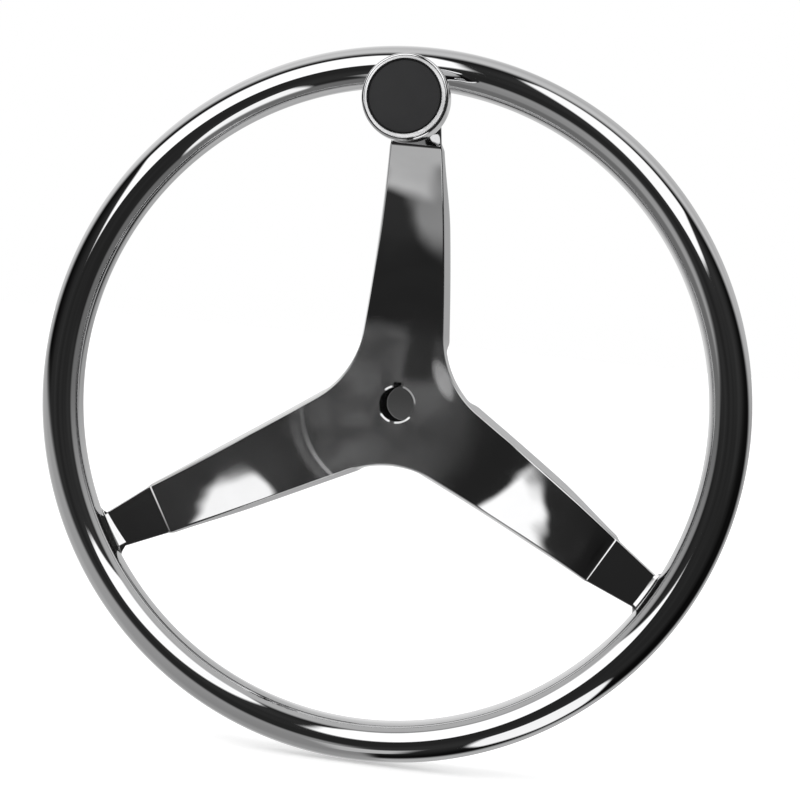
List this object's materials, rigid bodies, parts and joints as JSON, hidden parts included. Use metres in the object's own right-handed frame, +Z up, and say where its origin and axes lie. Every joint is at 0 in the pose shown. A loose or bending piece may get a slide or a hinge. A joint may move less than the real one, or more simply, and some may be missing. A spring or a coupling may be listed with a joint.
{
  "type": "boat steering wheel",
  "caption": "Dished three-spoke polished stainless boat steering wheel with a round tube rim, keyed hub bore and a free-turning knob on the top spoke.",
  "frame": {"origin": "centre of the hub bore at the hub's rear face, which seats against the helm shaft's shoulder", "axes": "+Z up through the knob's spoke, +Y away from the helmsman towards the helm along the wheel's axis, +X to the helmsman's right"},
  "size_m": [0.3809, 0.1138, 0.381],
  "materials": {
    "polished_stainless": "mirror polished",
    "satin_stainless": "satin",
    "weld_stainless": "ground and polished weld",
    "black_insert": "fine matt",
    "bush_plastic": "turned acetal"
  },
  "bodies": {
    "wheel": {"rim_tube": "polished_stainless", "rim_butt_weld": "weld_stainless", "spoke_spider": "polished_stainless", "hub_boss": "satin_stainless", "hub_weld": "weld_stainless", "top_tab_weld": "weld_stainless", "left_tab_weld": "weld_stainless", "right_tab_weld": "weld_stainless", "knob_stud": "satin_stainless", "knob_base_collar": "polished_stainless", "knob_thrust_washer": "satin_stainless", "knob_circlip": "satin_stainless", "knob_flat_washer": "satin_stainless", "knob_spring_washer": "satin_stainless", "knob_cap_nut": "polished_stainless"},
    "knob": {"knob_shell": "polished_stainless", "knob_insert": "black_insert", "knob_lower_bush": "bush_plastic", "knob_upper_bush": "bush_plastic"}
  },
  "joints": [
    {"name": "knob_spin", "type": "hinge", "parent": "wheel", "child": "knob", "pos_m": [0, -0.08, 0.1575], "axis": [0, -1, 0], "continuous": true}
  ]
}
